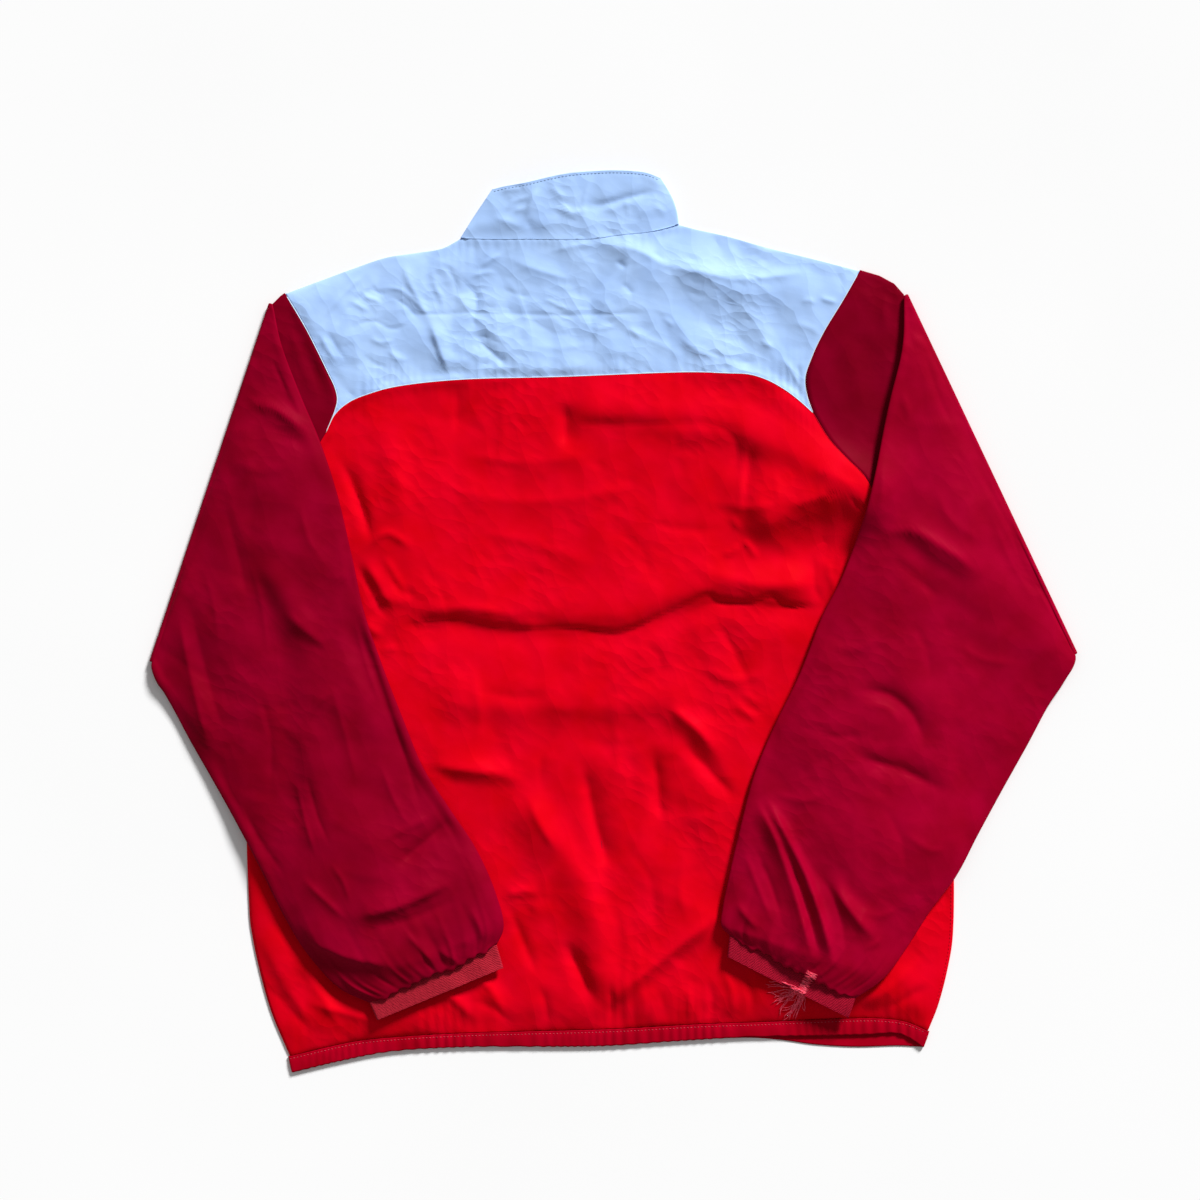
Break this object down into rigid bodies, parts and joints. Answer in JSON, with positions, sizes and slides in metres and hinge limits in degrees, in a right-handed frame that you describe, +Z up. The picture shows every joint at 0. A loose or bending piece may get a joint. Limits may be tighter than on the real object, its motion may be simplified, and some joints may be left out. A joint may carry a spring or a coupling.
{
  "type": "windbreaker jacket",
  "caption": "Light zipped windbreaker with a stand collar, contrast yoke, elastic cuffs and hem, laid face down with both sleeves folded over its back.",
  "frame": {"origin": "on the surface that the jacket lies on, under the middle of the laid-out jacket", "axes": "+Z up from the surface, +Y from the hem towards the collar, +X to the right as seen from above"},
  "size_m": [0.8138, 0.7917, 0.0266],
  "materials": {
    "red_shell": "crinkled thin nylon, slight sheen",
    "white_shell": "crinkled thin nylon, slight sheen",
    "crimson_shell": "crinkled thin nylon, slight sheen",
    "elastic_rib": "matte woven elastic",
    "hem_casing": "gathered nylon casing",
    "zip_tape": "woven tape with moulded teeth",
    "zip_metal": "satin"
  },
  "bodies": {
    "root": {"back_body": "red_shell", "back_yoke": "white_shell", "collar": "white_shell", "sleeve_left": "crimson_shell", "sleeve_right": "crimson_shell", "cuff_left": "elastic_rib", "cuff_right": "elastic_rib", "hem_band": "hem_casing", "front_left": "red_shell", "front_right": "red_shell", "front_yoke_left": "white_shell", "front_yoke_right": "white_shell", "front_zip": "zip_tape", "zip_slider": "zip_metal"}
  },
  "joints": []
}
